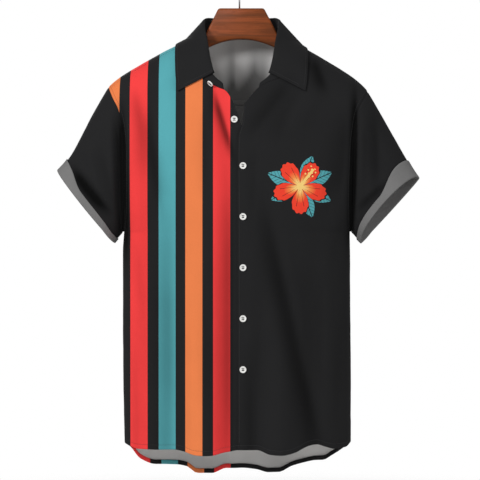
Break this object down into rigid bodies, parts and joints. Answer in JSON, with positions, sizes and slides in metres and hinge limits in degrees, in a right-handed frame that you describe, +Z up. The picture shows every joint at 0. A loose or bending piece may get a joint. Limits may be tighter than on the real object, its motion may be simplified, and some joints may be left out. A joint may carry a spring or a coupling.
{
  "type": "hawaiian shirt on a wooden hanger",
  "caption": "Short-sleeved, button-front shirt with a pointed open collar, turned-up cuffs and a curved shirt-tail hem, hanging on a flat wooden hanger with a wire hook.",
  "frame": {"origin": "inside of the hook's top, where it rests on a rail", "axes": "+Z up, the shirt's front faces -Y, +X to the viewer's right (the wearer's left)"},
  "size_m": [0.6361, 0.1615, 0.9022],
  "materials": {
    "plain_cloth": "matte",
    "striped_cloth": "matte",
    "buttons": "gloss",
    "wood": "satin",
    "wire": "polished"
  },
  "bodies": {
    "root": {"yoke": "plain_cloth", "back": "plain_cloth", "front_right": "striped_cloth", "front_left": "plain_cloth", "sleeve_right": "plain_cloth", "sleeve_left": "plain_cloth", "collar_stand": "plain_cloth", "collar_leaf": "plain_cloth", "button_1": "buttons", "button_2": "buttons", "button_3": "buttons", "button_4": "buttons", "button_5": "buttons", "button_6": "buttons", "button_7": "buttons", "hanger_wood": "wood", "hanger_hook": "wire"}
  },
  "joints": []
}
